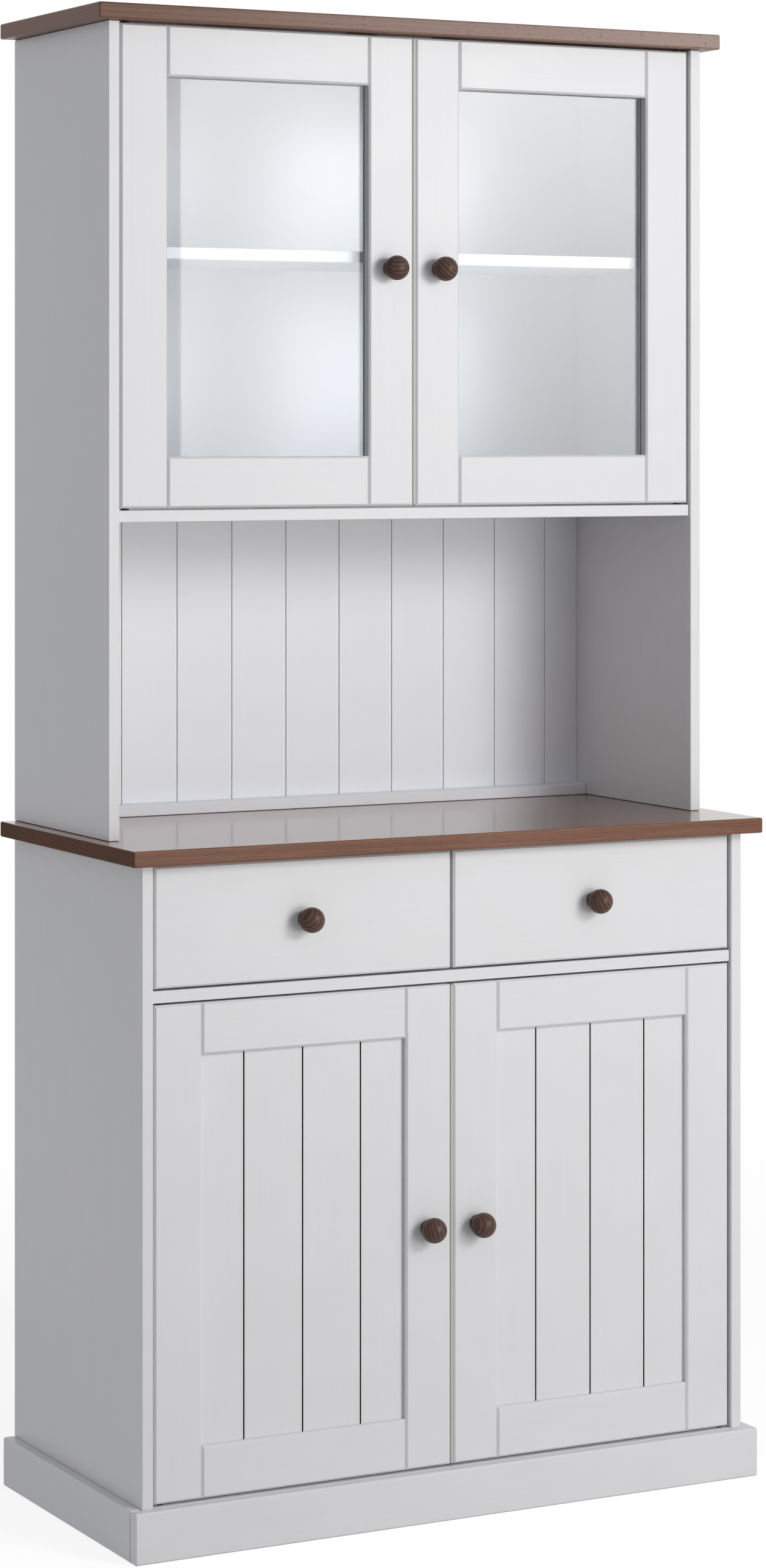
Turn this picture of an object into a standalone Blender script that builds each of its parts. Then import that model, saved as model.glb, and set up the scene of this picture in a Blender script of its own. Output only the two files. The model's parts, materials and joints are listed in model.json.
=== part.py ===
"""A two-part kitchen buffet in white lacquer with stained tops.

The base has two drawers over two panelled doors and stands in a plinth. The hutch stands back on
the worktop: an open niche with a grooved back, then two glazed doors with one shelf behind them.

Lengths are in metres, +Z is up and the front faces -Y. The origin is the middle of the bounding
box's footprint, on the floor. Depths are measured backwards from the front edges of the base's
side panels, and behind() turns them into Y.
"""

import math

import bmesh
import bpy

# Overall sizes
HEIGHT = 1.900  # floor to the crown board's top
BODY_W = 0.862  # over the outsides of the side panels
BODY_D = 0.402  # depth of the base's side panels
WORKTOP_Z = 0.864  # floor to the worktop's surface
HUTCH_SETBACK = 0.100  # the hutch's front edges stand this far behind the base's
NICHE_H = 0.394  # clear height of the open niche
PLINTH_H = 0.063

# Boards
PANEL_T = 0.015  # side panels
SHELF_T = 0.015  # bottoms, shelves, the deck and the divider
BACK_T = 0.004
WORKTOP_T = 0.020
CROWN_T = 0.020
PLINTH_T = 0.016
TOP_OVERHANG = 0.0205  # both tops, past the side panels
WORKTOP_NOSE = 0.0215  # the worktop, past the base's front edges
CROWN_NOSE = 0.0185  # the crown board, past the hutch's front edges
SHELF_SET = 0.004  # fixed shelves, behind the side panels' front edges
EASE = 0.0008  # eased edges of the painted boards
TOP_EASE = 0.0025  # eased edges of the stained tops
PLINTH_EASE = 0.002
SEAT = 0.0003  # gap between pieces that touch

# Niche back and its rail
BOARD_PITCH = 0.0806  # from groove to groove
BACK_GROOVE_W = 0.005
BACK_GROOVE_D = 0.0018
NICHE_RAIL_D = 0.026

# Shelves that the doors hide
UPPER_SHELF_RISE = 0.018  # middle of the hutch's shelf, above the middle of its cupboard
BASE_SHELF_RISE = -0.010
LOOSE_SHELF_SET = 0.006  # shelf's front edge, behind the doors' back faces

# Door and drawer fronts
FRONT_T = 0.020
FRONT_SET = 0.003  # behind the side panels' front edges
SIDE_GAP = 0.003
CENTRE_GAP = 0.004
RISE_GAP = 0.0025  # above and below each front
CHAMFER = 0.0026
STILE_W = 0.064
RAIL_W = 0.064
DRAWER_FRONT_H = 0.149
FIELD_SET = 0.0085  # a lower door's panel, behind the frame's face
FIELD_T = 0.007
FIELD_PITCH = 0.081
FIELD_GROOVE_W = 0.003
FIELD_GROOVE_D = 0.0015
GLASS_SET = 0.0145
GLASS_T = 0.003
HOUSING_D = 0.0075  # groove in the frame that holds a panel or a pane
HOUSING_PLAY = 0.0008  # left past the end of what is housed in a groove
CUT_PAST = 0.015  # cutters run this far past the door

# Pivots of the doors
PIVOT_IN = 0.010  # axis from the door's outer edge
PIVOT_R = 0.003
PIVOT_SHOULDER_R = 0.005
PIVOT_IN_DOOR = 0.016
PIVOT_IN_BOARD = 0.008
PIVOT_SIDES = 16

# Drawer boxes
BOX_GAP = 0.0015  # beside the box
BOX_T = 0.012
BOX_H = 0.110
BOX_BACK_GAP = 0.0347  # free depth between the box and the base's back
BOX_BOTTOM_T = 0.004
BOX_BOTTOM_RISE = 0.010
BOX_GROOVE_D = 0.005

# Block that the lower doors close against
STOP_W = 0.040
STOP_D = 0.012
STOP_H = 0.018

# Knobs
KNOB_R = 0.016
KNOB_COLLAR_R = 0.0112
KNOB_COLLAR_T = 0.0045
KNOB_NECK_R = 0.0102
KNOB_NECK_T = 0.0007
KNOB_IN = 0.0335  # centre from the door's opening edge
UPPER_KNOB_RISE = 0.0035  # centre above the middle of the door
LOWER_KNOB_RISE = -0.002
KNOB_SIDES = 24
KNOB_ARC = 10

# Places worked out from the sizes
KNOB_CENTRE = KNOB_COLLAR_T + KNOB_NECK_T + math.sqrt(KNOB_R**2 - KNOB_NECK_R**2)
KNOB_OUT = KNOB_CENTRE + KNOB_R  # from the door's face to the knob's front
FRONT_Y = (KNOB_OUT + SEAT - FRONT_SET - BODY_D) / 2
OUTER_X = BODY_W / 2
INNER_X = OUTER_X - PANEL_T
FRONT_EDGE_X = INNER_X - SIDE_GAP
CENTRE_EDGE_X = CENTRE_GAP / 2
FRONT_W = FRONT_EDGE_X - CENTRE_EDGE_X
CARCASS_BACK = BODY_D - BACK_T - SEAT
WORKTOP_UNDER = WORKTOP_Z - WORKTOP_T
DECK_TOP = WORKTOP_UNDER - DRAWER_FRONT_H - 2 * RISE_GAP
DECK_UNDER = DECK_TOP - SHELF_T
HUTCH_FLOOR_UNDER = WORKTOP_Z + NICHE_H
HUTCH_FLOOR_TOP = HUTCH_FLOOR_UNDER + SHELF_T
CROWN_UNDER = HEIGHT - CROWN_T
BACK_JOINT_Z = HUTCH_FLOOR_UNDER + SHELF_T / 2
HOUSED = HOUSING_D - HOUSING_PLAY
BOX_BOTTOM_HOUSED = BOX_GROOVE_D - HOUSING_PLAY


def behind(depth):
    """Y of a place this far behind the base's front edges."""
    return FRONT_Y + depth


def clear_scene():
    for obj in list(bpy.data.objects):
        bpy.data.objects.remove(obj, do_unlink=True)


def new_collection(name):
    collection = bpy.data.collections.new(name)
    bpy.context.scene.collection.children.link(collection)
    return collection


def finish(colour, roughness, metallic=0.0, alpha=1.0):
    return {"Base Color": (*colour, 1.0), "Roughness": roughness, "Metallic": metallic, "Alpha": alpha}


WHITE = finish((0.78, 0.78, 0.79), 0.35)
STAIN = finish((0.16, 0.085, 0.052), 0.35)
HARDBOARD = finish((0.72, 0.72, 0.73), 0.5)
GLASS = finish((0.85, 0.92, 0.92), 0.03, alpha=0.3)
STEEL = finish((0.60, 0.60, 0.60), 0.3, metallic=1.0)

clear_scene()
BUFFET = new_collection("kitchen_buffet")
CUTTERS = new_collection("cutters")


def add_object(name, data, surface, parent=None):
    """Add a piece with a material of its own."""
    material = bpy.data.materials.new(name)
    material.use_nodes = True
    shader = material.node_tree.nodes["Principled BSDF"]
    for socket, value in surface.items():
        shader.inputs[socket].default_value = value
    data.materials.append(material)
    obj = bpy.data.objects.new(name, data)
    obj.parent = parent
    BUFFET.objects.link(obj)
    return obj


def add_empty(name, location):
    empty = bpy.data.objects.new(name, None)
    empty.location = location
    BUFFET.objects.link(empty)
    return empty


def add_cutter(name, mesh):
    cutter = bpy.data.objects.new(name, mesh)
    CUTTERS.objects.link(cutter)
    cutter.hide_render = True
    cutter.display_type = "WIRE"
    return cutter


def place(obj, centre):
    """Put an object's origin at a world place, whatever its parent."""
    if obj.parent:
        centre = [c - p for c, p in zip(centre, obj.parent.location)]
    obj.location = centre


def box_mesh(name, size):
    """A box about the origin."""
    mesh = bpy.data.meshes.new(name)
    shape = bmesh.new()
    bmesh.ops.create_cube(shape, size=1.0)
    bmesh.ops.scale(shape, vec=size, verts=shape.verts)
    shape.to_mesh(mesh)
    shape.free()
    return mesh


def centre_and_size(x, y, z):
    spans = [sorted(x), sorted(y), sorted(z)]
    centre = [(low + high) / 2 for low, high in spans]
    size = [high - low for low, high in spans]
    return centre, size


def board(name, x, y, z, surface=WHITE, ease=EASE, segments=1, parent=None):
    """A flat board between two X, two Y and two Z places, with eased edges."""
    centre, size = centre_and_size(x, y, z)
    obj = add_object(name, box_mesh(name, size), surface, parent)
    place(obj, centre)
    if ease:
        rounding = obj.modifiers.new("eased_edges", "BEVEL")
        rounding.width = ease
        rounding.segments = segments
    return obj


def box_cutter(name, x, y, z):
    centre, size = centre_and_size(x, y, z)
    cutter = add_cutter(name, box_mesh(name, size))
    cutter.location = centre
    return cutter


def hole_cutter(name, x, y, z):
    """An upright cutter between two heights, for a pivot's hole."""
    mesh = bpy.data.meshes.new(name)
    shape = bmesh.new()
    radius = PIVOT_R + SEAT
    bmesh.ops.create_cone(
        shape, cap_ends=True, segments=PIVOT_SIDES, radius1=radius, radius2=radius, depth=z[1] - z[0]
    )
    shape.to_mesh(mesh)
    shape.free()
    cutter = add_cutter(name, mesh)
    cutter.location = (x, y, (z[0] + z[1]) / 2)
    return cutter


def combine(obj, other, operation="DIFFERENCE"):
    step = obj.modifiers.new(other.name, "BOOLEAN")
    step.operation = operation
    step.solver = "EXACT"
    step.object = other


def turned(name, profile, sides, surface, parent):
    """A solid of revolution about local Z, from (radius, height) points, top to bottom."""
    mesh = bpy.data.meshes.new(name)
    points = [(radius, 0.0, height) for radius, height in profile]
    edges = [(i, i + 1) for i in range(len(points) - 1)]
    mesh.from_pydata(points, edges, [])
    obj = add_object(name, mesh, surface, parent)
    screw = obj.modifiers.new("turned", "SCREW")
    screw.axis = "Z"
    screw.steps = sides
    screw.render_steps = sides
    screw.use_merge_vertices = True
    screw.merge_threshold = 0.00001
    screw.use_smooth_shade = True
    return obj


def grooved_sheet(name, x, y, z, grooves, width, depth, surface, parent=None):
    """An upright sheet, as an extruded outline, with flat-bottomed grooves down its front."""
    middle_x = (x[0] + x[1]) / 2
    outline = [(x[0], y[0])]
    for groove_x in grooves:
        outline.append((groove_x - width / 2, y[0]))
        outline.append((groove_x - width / 2 + depth / 2, y[0] + depth))
        outline.append((groove_x + width / 2 - depth / 2, y[0] + depth))
        outline.append((groove_x + width / 2, y[0]))
    outline += [(x[1], y[0]), (x[1], y[1]), (x[0], y[1])]
    curve = bpy.data.curves.new(name, "CURVE")
    curve.dimensions = "2D"
    curve.fill_mode = "BOTH"
    curve.extrude = (z[1] - z[0]) / 2
    spline = curve.splines.new("POLY")
    spline.points.add(len(outline) - 1)
    for point, (px, py) in zip(spline.points, outline):
        point.co = (px - middle_x, py - y[0], 0.0, 1.0)
    spline.use_cyclic_u = True
    obj = add_object(name, curve, surface, parent)
    place(obj, (middle_x, y[0], (z[0] + z[1]) / 2))
    return obj


def front_piece(name, x, face, z, parent):
    """A stile, a rail or a drawer front: a box whose four front edges are chamfered."""
    centre, size = centre_and_size(x, (face, face + FRONT_T), z)
    mesh = box_mesh(name, size)
    shape = bmesh.new()
    shape.from_mesh(mesh)
    front = -size[1] / 2
    edges = [e for e in shape.edges if all(math.isclose(v.co.y, front, abs_tol=1e-6) for v in e.verts)]
    bmesh.ops.bevel(shape, geom=edges, offset=CHAMFER, segments=1, affect="EDGES")
    shape.to_mesh(mesh)
    shape.free()
    obj = add_object(name, mesh, WHITE, parent)
    place(obj, centre)
    return obj


def knob(name, x, face, z, parent):
    """A turned ball knob: a ball, a short neck and a collar against the front."""
    meeting = -math.acos(KNOB_NECK_R / KNOB_R)
    profile = []
    for step in range(KNOB_ARC + 1):
        angle = math.pi / 2 + (meeting - math.pi / 2) * step / KNOB_ARC
        profile.append((KNOB_R * math.cos(angle), KNOB_CENTRE + KNOB_R * math.sin(angle)))
    profile[0] = (0.0, KNOB_OUT)
    profile += [(KNOB_COLLAR_R, KNOB_COLLAR_T), (KNOB_COLLAR_R, 0.0), (0.0, 0.0)]
    obj = turned(name, profile, KNOB_SIDES, STAIN, parent)
    obj.rotation_euler = (math.pi / 2, 0.0, 0.0)
    place(obj, (x, face - SEAT, z))
    return obj


def pivot(name, x, y, joint_low, joint_high, door_is_above, parent):
    """A pivot pin across the gap between a door and a board, with a bearing shoulder in the gap."""
    down = PIVOT_IN_BOARD if door_is_above else PIVOT_IN_DOOR
    up = PIVOT_IN_DOOR if door_is_above else PIVOT_IN_BOARD
    middle = (joint_low + joint_high) / 2
    half = (joint_high - joint_low) / 2
    shoulder = half - SEAT
    profile = [
        (0.0, half + up),
        (PIVOT_R, half + up),
        (PIVOT_R, shoulder),
        (PIVOT_SHOULDER_R, shoulder),
        (PIVOT_SHOULDER_R, -shoulder),
        (PIVOT_R, -shoulder),
        (PIVOT_R, -half - down),
        (0.0, -half - down),
    ]
    obj = turned(name, profile, PIVOT_SIDES, STEEL, parent)
    place(obj, (x, y, middle))
    return obj


class Door:
    """A framed door between two heights, hinged on its outer edge. side is -1 for left, 1 for right."""

    def __init__(self, name, side, face, low, high, glazed):
        set_back = GLASS_SET if glazed else FIELD_SET
        thick = GLASS_T if glazed else FIELD_T
        self.name = name
        self.side = side
        self.face = face
        self.low = low
        self.high = high
        self.glazed = glazed
        self.sheet_y = (face + set_back, face + set_back + thick)
        self.groove_y = (self.sheet_y[0] - SEAT, self.sheet_y[1] + SEAT)
        self.opening = (STILE_W, FRONT_W - STILE_W)
        self.opening_z = (low + RAIL_W, high - RAIL_W)
        self.axis_x = side * (FRONT_EDGE_X - PIVOT_IN)
        self.axis_y = face + FRONT_T / 2
        self.hinge = add_empty(name + "_hinge", (self.axis_x, self.axis_y, low))

    def across(self, start, end):
        """X span between two distances inwards of the door's outer edge."""
        return tuple(sorted((self.side * (FRONT_EDGE_X - start), self.side * (FRONT_EDGE_X - end))))

    def hole(self, name, z):
        return hole_cutter(f"{self.name}_{name}", self.axis_x, self.axis_y, z)

    def add_stile(self, part, span, groove):
        """A stile runs the whole height, with a groove down its inner edge."""
        whole_z = (self.low - CUT_PAST, self.high + CUT_PAST)
        stile = front_piece(f"{self.name}_{part}", self.across(*span), self.face, (self.low, self.high),
                            self.hinge)
        combine(stile, box_cutter(f"{self.name}_{part}_groove", self.across(*groove), self.groove_y, whole_z))
        return stile

    def add_stiles(self):
        inner, outer = self.opening
        hinge_stile = self.add_stile("hinge_stile", (0.0, inner), (inner - HOUSING_D, inner + CUT_PAST))
        self.add_stile("pull_stile", (outer, FRONT_W), (outer - CUT_PAST, outer + HOUSING_D))
        depth = PIVOT_IN_DOOR + SEAT
        combine(hinge_stile, self.hole("low_hole", (self.low - CUT_PAST, self.low + depth)))
        combine(hinge_stile, self.hole("high_hole", (self.high - depth, self.high + CUT_PAST)))

    def add_rail(self, part, span_z, groove_z):
        """A rail fits between the stiles, with a tongue at each end and a groove for the sheet."""
        inner, outer = self.opening
        rail_x = self.across(inner + SEAT, outer - SEAT)
        tongue_x = self.across(inner - HOUSED, outer + HOUSED)
        groove_x = self.across(inner - CUT_PAST, outer + CUT_PAST)
        rail = front_piece(f"{self.name}_{part}", rail_x, self.face, span_z, self.hinge)
        combine(rail, box_cutter(f"{self.name}_{part}_tongues", tongue_x, self.sheet_y, span_z), "UNION")
        combine(rail, box_cutter(f"{self.name}_{part}_groove", groove_x, self.groove_y, groove_z))

    def add_rails(self):
        bottom, top = self.opening_z
        self.add_rail("bottom_rail", (self.low, bottom), (bottom - HOUSING_D, bottom + CUT_PAST))
        self.add_rail("top_rail", (top, self.high), (top - CUT_PAST, top + HOUSING_D))

    def add_sheet(self):
        """The pane or the panel is housed on all four sides."""
        x = self.across(self.opening[0] - HOUSED, self.opening[1] + HOUSED)
        z = (self.opening_z[0] - HOUSED, self.opening_z[1] + HOUSED)
        if self.glazed:
            board(f"{self.name}_glass", x, self.sheet_y, z, GLASS, ease=0, parent=self.hinge)
            return
        middle = sum(x) / 2
        grooves = [middle + FIELD_PITCH * k for k in (-1, 0, 1)]
        grooved_sheet(f"{self.name}_panel", x, self.sheet_y, z, grooves, FIELD_GROOVE_W, FIELD_GROOVE_D,
                      WHITE, self.hinge)

    def add_pivots(self, board_below, board_above):
        """A pin at each end turns in a hole in the board beyond the gap."""
        below = self.low - RISE_GAP
        above = self.high + RISE_GAP
        depth = PIVOT_IN_BOARD + SEAT
        name = f"{self.name}_pivot"
        pivot(f"{name}_low", self.axis_x, self.axis_y, below, self.low, True, self.hinge)
        pivot(f"{name}_high", self.axis_x, self.axis_y, self.high, above, False, self.hinge)
        combine(board_below, self.hole("seat_low", (below - depth, self.low)))
        combine(board_above, self.hole("seat_high", (self.high, above + depth)))

    def add_knob(self):
        rise = UPPER_KNOB_RISE if self.glazed else LOWER_KNOB_RISE
        middle = (self.low + self.high) / 2
        knob(f"{self.name}_knob", self.side * (CENTRE_EDGE_X + KNOB_IN), self.face, middle + rise, self.hinge)


def add_door(name, side, face, low, high, glazed, boards):
    """boards holds the board below the door and the one above it."""
    door = Door(name, side, face, low, high, glazed)
    door.add_stiles()
    door.add_rails()
    door.add_sheet()
    door.add_pivots(*boards)
    door.add_knob()


def add_drawer(name, side):
    """A drawer: a chamfered front, a box folded from one strip and a bottom sheet in grooves."""
    face = behind(FRONT_SET)
    low = DECK_TOP + RISE_GAP
    high = WORKTOP_UNDER - RISE_GAP
    middle_x = side * (FRONT_EDGE_X + CENTRE_EDGE_X) / 2
    slide = add_empty(name + "_slide", (middle_x, face, low))

    front_x = tuple(sorted((side * CENTRE_EDGE_X, side * FRONT_EDGE_X)))
    front = front_piece(f"{name}_front", front_x, face, (low, high), slide)

    box_x = sorted((side * (SHELF_T / 2 + BOX_GAP), side * (INNER_X - BOX_GAP)))
    box_y = (face + FRONT_T + SEAT, behind(CARCASS_BACK - BOX_BACK_GAP))
    box_z = (DECK_TOP + SEAT, DECK_TOP + SEAT + BOX_H)
    box = board(f"{name}_box", box_x, box_y, box_z, HARDBOARD, ease=0, parent=slide)
    inside_x = (box_x[0] + BOX_T, box_x[1] - BOX_T)
    inside_y = (box_y[0] - BOX_T, box_y[1] - BOX_T)
    inside_z = (box_z[0] - BOX_T, box_z[1] + BOX_T)
    combine(box, box_cutter(f"{name}_inside", inside_x, inside_y, inside_z))

    # The bottom sits in one groove round the box and across the front's back
    sheet_z = (box_z[0] + BOX_BOTTOM_RISE, box_z[0] + BOX_BOTTOM_RISE + BOX_BOTTOM_T)
    groove_x = (inside_x[0] - BOX_GROOVE_D, inside_x[1] + BOX_GROOVE_D)
    groove_y = (face + FRONT_T - BOX_GROOVE_D, inside_y[1] + BOX_GROOVE_D)
    groove_z = (sheet_z[0] - SEAT, sheet_z[1] + SEAT)
    groove = box_cutter(f"{name}_bottom_groove", groove_x, groove_y, groove_z)
    combine(box, groove)
    combine(front, groove)
    sheet_x = (inside_x[0] - BOX_BOTTOM_HOUSED, inside_x[1] + BOX_BOTTOM_HOUSED)
    sheet_y = (face + FRONT_T - BOX_BOTTOM_HOUSED, inside_y[1] + BOX_BOTTOM_HOUSED)
    board(f"{name}_bottom", sheet_x, sheet_y, sheet_z, HARDBOARD, ease=0, parent=slide)

    knob(f"{name}_knob", middle_x, face, (low + high) / 2, slide)


def add_base():
    """The base's carcass. Returns the bottom board and the deck, which carry the lower doors."""
    inner = (-INNER_X + SEAT, INNER_X - SEAT)
    side_z = (0.0, WORKTOP_UNDER - SEAT)
    for label, side in (("left", -1), ("right", 1)):
        side_x = (side * INNER_X, side * OUTER_X)
        board(f"base_side_{label}", side_x, (behind(0.0), behind(BODY_D)), side_z)
        plinth_x = (side * (OUTER_X + SEAT), side * (OUTER_X + PLINTH_T))
        board(f"plinth_{label}", plinth_x, (behind(SEAT), behind(BODY_D)), (0.0, PLINTH_H),
              ease=PLINTH_EASE)
    plinth_x = (-OUTER_X - PLINTH_T, OUTER_X + PLINTH_T)
    board("plinth_front", plinth_x, (behind(-PLINTH_T), behind(-SEAT)), (0.0, PLINTH_H), ease=PLINTH_EASE)

    bottom = board("base_bottom", inner, (behind(SEAT), behind(CARCASS_BACK)),
                   (PLINTH_H - SHELF_T, PLINTH_H))
    deck = board("drawer_deck", inner, (behind(SHELF_SET), behind(CARCASS_BACK)), (DECK_UNDER, DECK_TOP))
    board("drawer_divider", (-SHELF_T / 2, SHELF_T / 2),
          (behind(FRONT_SET + FRONT_T + SEAT), behind(CARCASS_BACK)), (DECK_TOP + SEAT, WORKTOP_UNDER - SEAT))
    shelf_z = (PLINTH_H + DECK_UNDER) / 2 + BASE_SHELF_RISE
    shelf_front = FRONT_SET + FRONT_T + LOOSE_SHELF_SET
    board("base_shelf", inner, (behind(shelf_front), behind(CARCASS_BACK)),
          (shelf_z - SHELF_T / 2, shelf_z + SHELF_T / 2))
    stop_front = behind(FRONT_SET + FRONT_T + SEAT)
    board("lower_door_stop", (-STOP_W / 2, STOP_W / 2), (stop_front, stop_front + STOP_D),
          (DECK_UNDER - SEAT - STOP_H, DECK_UNDER - SEAT))
    board("base_back", inner, (behind(BODY_D - BACK_T), behind(BODY_D)),
          (PLINTH_H - SHELF_T, WORKTOP_UNDER - SEAT), HARDBOARD, ease=0)
    board("worktop", (-OUTER_X - TOP_OVERHANG, OUTER_X + TOP_OVERHANG),
          (behind(-WORKTOP_NOSE), behind(BODY_D)), (WORKTOP_UNDER, WORKTOP_Z), STAIN,
          ease=TOP_EASE, segments=2)
    return bottom, deck


def add_hutch():
    """The hutch's carcass. Returns its floor and the crown board, which carry the upper doors."""
    inner = (-INNER_X + SEAT, INNER_X - SEAT)
    for label, side in (("left", -1), ("right", 1)):
        board(f"hutch_side_{label}", (side * INNER_X, side * OUTER_X),
              (behind(HUTCH_SETBACK), behind(BODY_D)), (WORKTOP_Z + SEAT, CROWN_UNDER - SEAT))
    floor = board("hutch_floor", inner, (behind(HUTCH_SETBACK + SHELF_SET), behind(CARCASS_BACK)),
                  (HUTCH_FLOOR_UNDER, HUTCH_FLOOR_TOP))
    shelf_z = (HUTCH_FLOOR_TOP + CROWN_UNDER) / 2 + UPPER_SHELF_RISE
    shelf_front = HUTCH_SETBACK + FRONT_SET + FRONT_T + LOOSE_SHELF_SET
    board("hutch_shelf", inner, (behind(shelf_front), behind(CARCASS_BACK)),
          (shelf_z - SHELF_T / 2, shelf_z + SHELF_T / 2))
    board("niche_rail", inner, (behind(CARCASS_BACK - NICHE_RAIL_D), behind(CARCASS_BACK)),
          (WORKTOP_Z + SEAT, WORKTOP_Z + SEAT + SHELF_T))

    back_y = (behind(BODY_D - BACK_T), behind(BODY_D))
    pairs = int((INNER_X - BACK_GROOVE_W) / BOARD_PITCH + 0.5)
    grooves = [BOARD_PITCH * (k + 0.5) for k in range(-pairs, pairs)]
    grooved_sheet("niche_back", inner, back_y, (WORKTOP_Z + SEAT, BACK_JOINT_Z - SEAT), grooves,
                  BACK_GROOVE_W, BACK_GROOVE_D, WHITE)
    board("hutch_back", inner, back_y, (BACK_JOINT_Z, CROWN_UNDER - SEAT), ease=0)
    crown = board("crown_board", (-OUTER_X - TOP_OVERHANG, OUTER_X + TOP_OVERHANG),
                  (behind(HUTCH_SETBACK - CROWN_NOSE), behind(BODY_D)), (CROWN_UNDER, HEIGHT), STAIN,
                  ease=TOP_EASE, segments=2)
    return floor, crown


def main():
    base_boards = add_base()
    hutch_boards = add_hutch()
    lower_face = behind(FRONT_SET)
    upper_face = behind(HUTCH_SETBACK + FRONT_SET)
    for label, side in (("left", -1), ("right", 1)):
        add_drawer(f"drawer_{label}", side)
        add_door(f"lower_{label}_door", side, lower_face, PLINTH_H + RISE_GAP, DECK_UNDER - RISE_GAP,
                 False, base_boards)
        add_door(f"upper_{label}_door", side, upper_face, HUTCH_FLOOR_TOP + RISE_GAP,
                 CROWN_UNDER - RISE_GAP, True, hutch_boards)


main()
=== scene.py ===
"""Looks of a white lacquered kitchen buffet with brown stained tops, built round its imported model.

Lengths are in metres, +Z is up and the buffet's front faces -Y. Every piece takes its place from the
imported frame.
"""

import json
import math

import bmesh
import bpy
from mathutils import Matrix, Vector

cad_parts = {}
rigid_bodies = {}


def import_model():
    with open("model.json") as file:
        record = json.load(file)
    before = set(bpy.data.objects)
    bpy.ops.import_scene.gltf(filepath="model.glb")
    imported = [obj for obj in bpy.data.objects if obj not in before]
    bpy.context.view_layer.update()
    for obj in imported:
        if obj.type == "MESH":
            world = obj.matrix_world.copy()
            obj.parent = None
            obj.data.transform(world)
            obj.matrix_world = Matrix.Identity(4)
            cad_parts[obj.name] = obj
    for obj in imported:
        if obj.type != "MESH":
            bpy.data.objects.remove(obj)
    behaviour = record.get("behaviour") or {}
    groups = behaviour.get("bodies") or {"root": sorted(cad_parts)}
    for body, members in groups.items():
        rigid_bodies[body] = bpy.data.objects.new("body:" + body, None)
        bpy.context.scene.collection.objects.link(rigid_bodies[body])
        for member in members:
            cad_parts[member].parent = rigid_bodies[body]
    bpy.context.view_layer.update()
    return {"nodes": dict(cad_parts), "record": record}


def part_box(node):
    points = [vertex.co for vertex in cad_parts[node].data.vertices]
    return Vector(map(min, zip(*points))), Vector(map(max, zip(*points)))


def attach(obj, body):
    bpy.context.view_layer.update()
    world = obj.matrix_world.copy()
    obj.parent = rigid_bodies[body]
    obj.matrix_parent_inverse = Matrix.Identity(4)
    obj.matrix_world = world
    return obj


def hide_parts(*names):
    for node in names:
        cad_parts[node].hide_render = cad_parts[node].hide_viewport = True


bl_info = {
    "name": "Kitchen Buffet",
    "version": (1, 0, 0),
    "blender": (4, 5, 0),
    "location": "3D View > Sidebar > Buffet",
    "description": "Builds a lacquered kitchen buffet with stained tops",
    "category": "Add Mesh",
}

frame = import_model()
NODES = frame["nodes"]
BODY_OF = {node: body for body, nodes in frame["record"]["behaviour"]["bodies"].items() for node in nodes}

X, Y, Z = range(3)
SIDES = (("left", -1), ("right", 1))
DOORS = [f"{row}_{side}_door" for row in ("lower", "upper") for side, _ in SIDES]
MM = 0.001
AIR = 0.05 * MM  # between a piece and what it is laid on
RING = 5 * MM  # growth ring of the stained wood

# The picture that the camera is matched to, in pixels
PICTURE_H = 2576
FOCAL_PIXELS = 6521.0
HORIZON_ROW = 701.2
CAMERA_PLACE = (-2.4198, -4.5793, 1.3767)
CAMERA_TURN = 27.826  # degrees to the right of straight on
SENSOR = 36.0

# Studio
AMBIENT = 0.35  # what the surroundings give, next to the white background's 1
AMBIENT_TINT = (0.94, 0.955, 1.0, 1.0)
WHITE = (1.0, 1.0, 1.0, 1.0)
# Name, place, what it faces, size, watts, tint, and the core that it fades from
SOFTBOXES = (
    ("key_softbox", (1.55, -3.15, 2.12), (0.0, -0.1, 1.0), (1.85, 1.5), 115.0, "#ffffff", 0.2),
    ("low_softbox", (1.15, -3.30, 0.85), (0.0, -0.1, 0.9), (2.3, 1.7), 62.0, "#fffdf9", 0.2),
    ("side_fill", (-3.40, 0.90, 1.00), (-0.4, 0.1, 0.8), (1.8, 2.2), 8.5, "#fbfcff", None),
)
# The same for the cards that the panes mirror, and the share of their strength that their edges keep
CARDS = (
    ("upper_card", (1.71, -2.65, 3.08), (1.71, 0.0, 3.08), (1.67, 4.5), 272.0, "#ffffff", 0.0, 0.25),
    ("narrow_card", (1.14, -2.95, 2.35), (1.14, 0.0, 2.35), (0.75, 3.6), 34.0, "#ffffff", 0.0, 0.0),
)
THROUGH_GLASS = 0.48  # the share of the key that reaches what stands behind the panes
FLOOR_RADIUS = 14.0
FLOOR_SHADOW_RADIUS = 1.1  # the floor holds the shadow inside this and fades to white past it
FLOOR_FADE = 1.6
FLOOR_PAPER = "#cccccc"
FLOOR_SHADE = 0.5  # the share of the paper's own shade that the camera gets near the buffet
FLOOR_WHITE = 1.65  # what the rest gives there, so that lit paper comes out white


def linear(code):
    """Linear red, green and blue of an sRGB hex colour."""
    parts = [int(code[i : i + 2], 16) / 255 for i in (1, 3, 5)]
    return tuple(p / 12.92 if p <= 0.04045 else ((p + 0.055) / 1.055) ** 2.4 for p in parts)


def length(name, description, millimetres):
    return bpy.props.FloatProperty(
        name=name, description=description, default=millimetres * MM, min=0.0, precision=5, unit="LENGTH"
    )


def colour(name, description, code):
    return bpy.props.FloatVectorProperty(
        name=name, description=description, default=linear(code), size=3, min=0.0, max=1.0, subtype="COLOR"
    )


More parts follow.
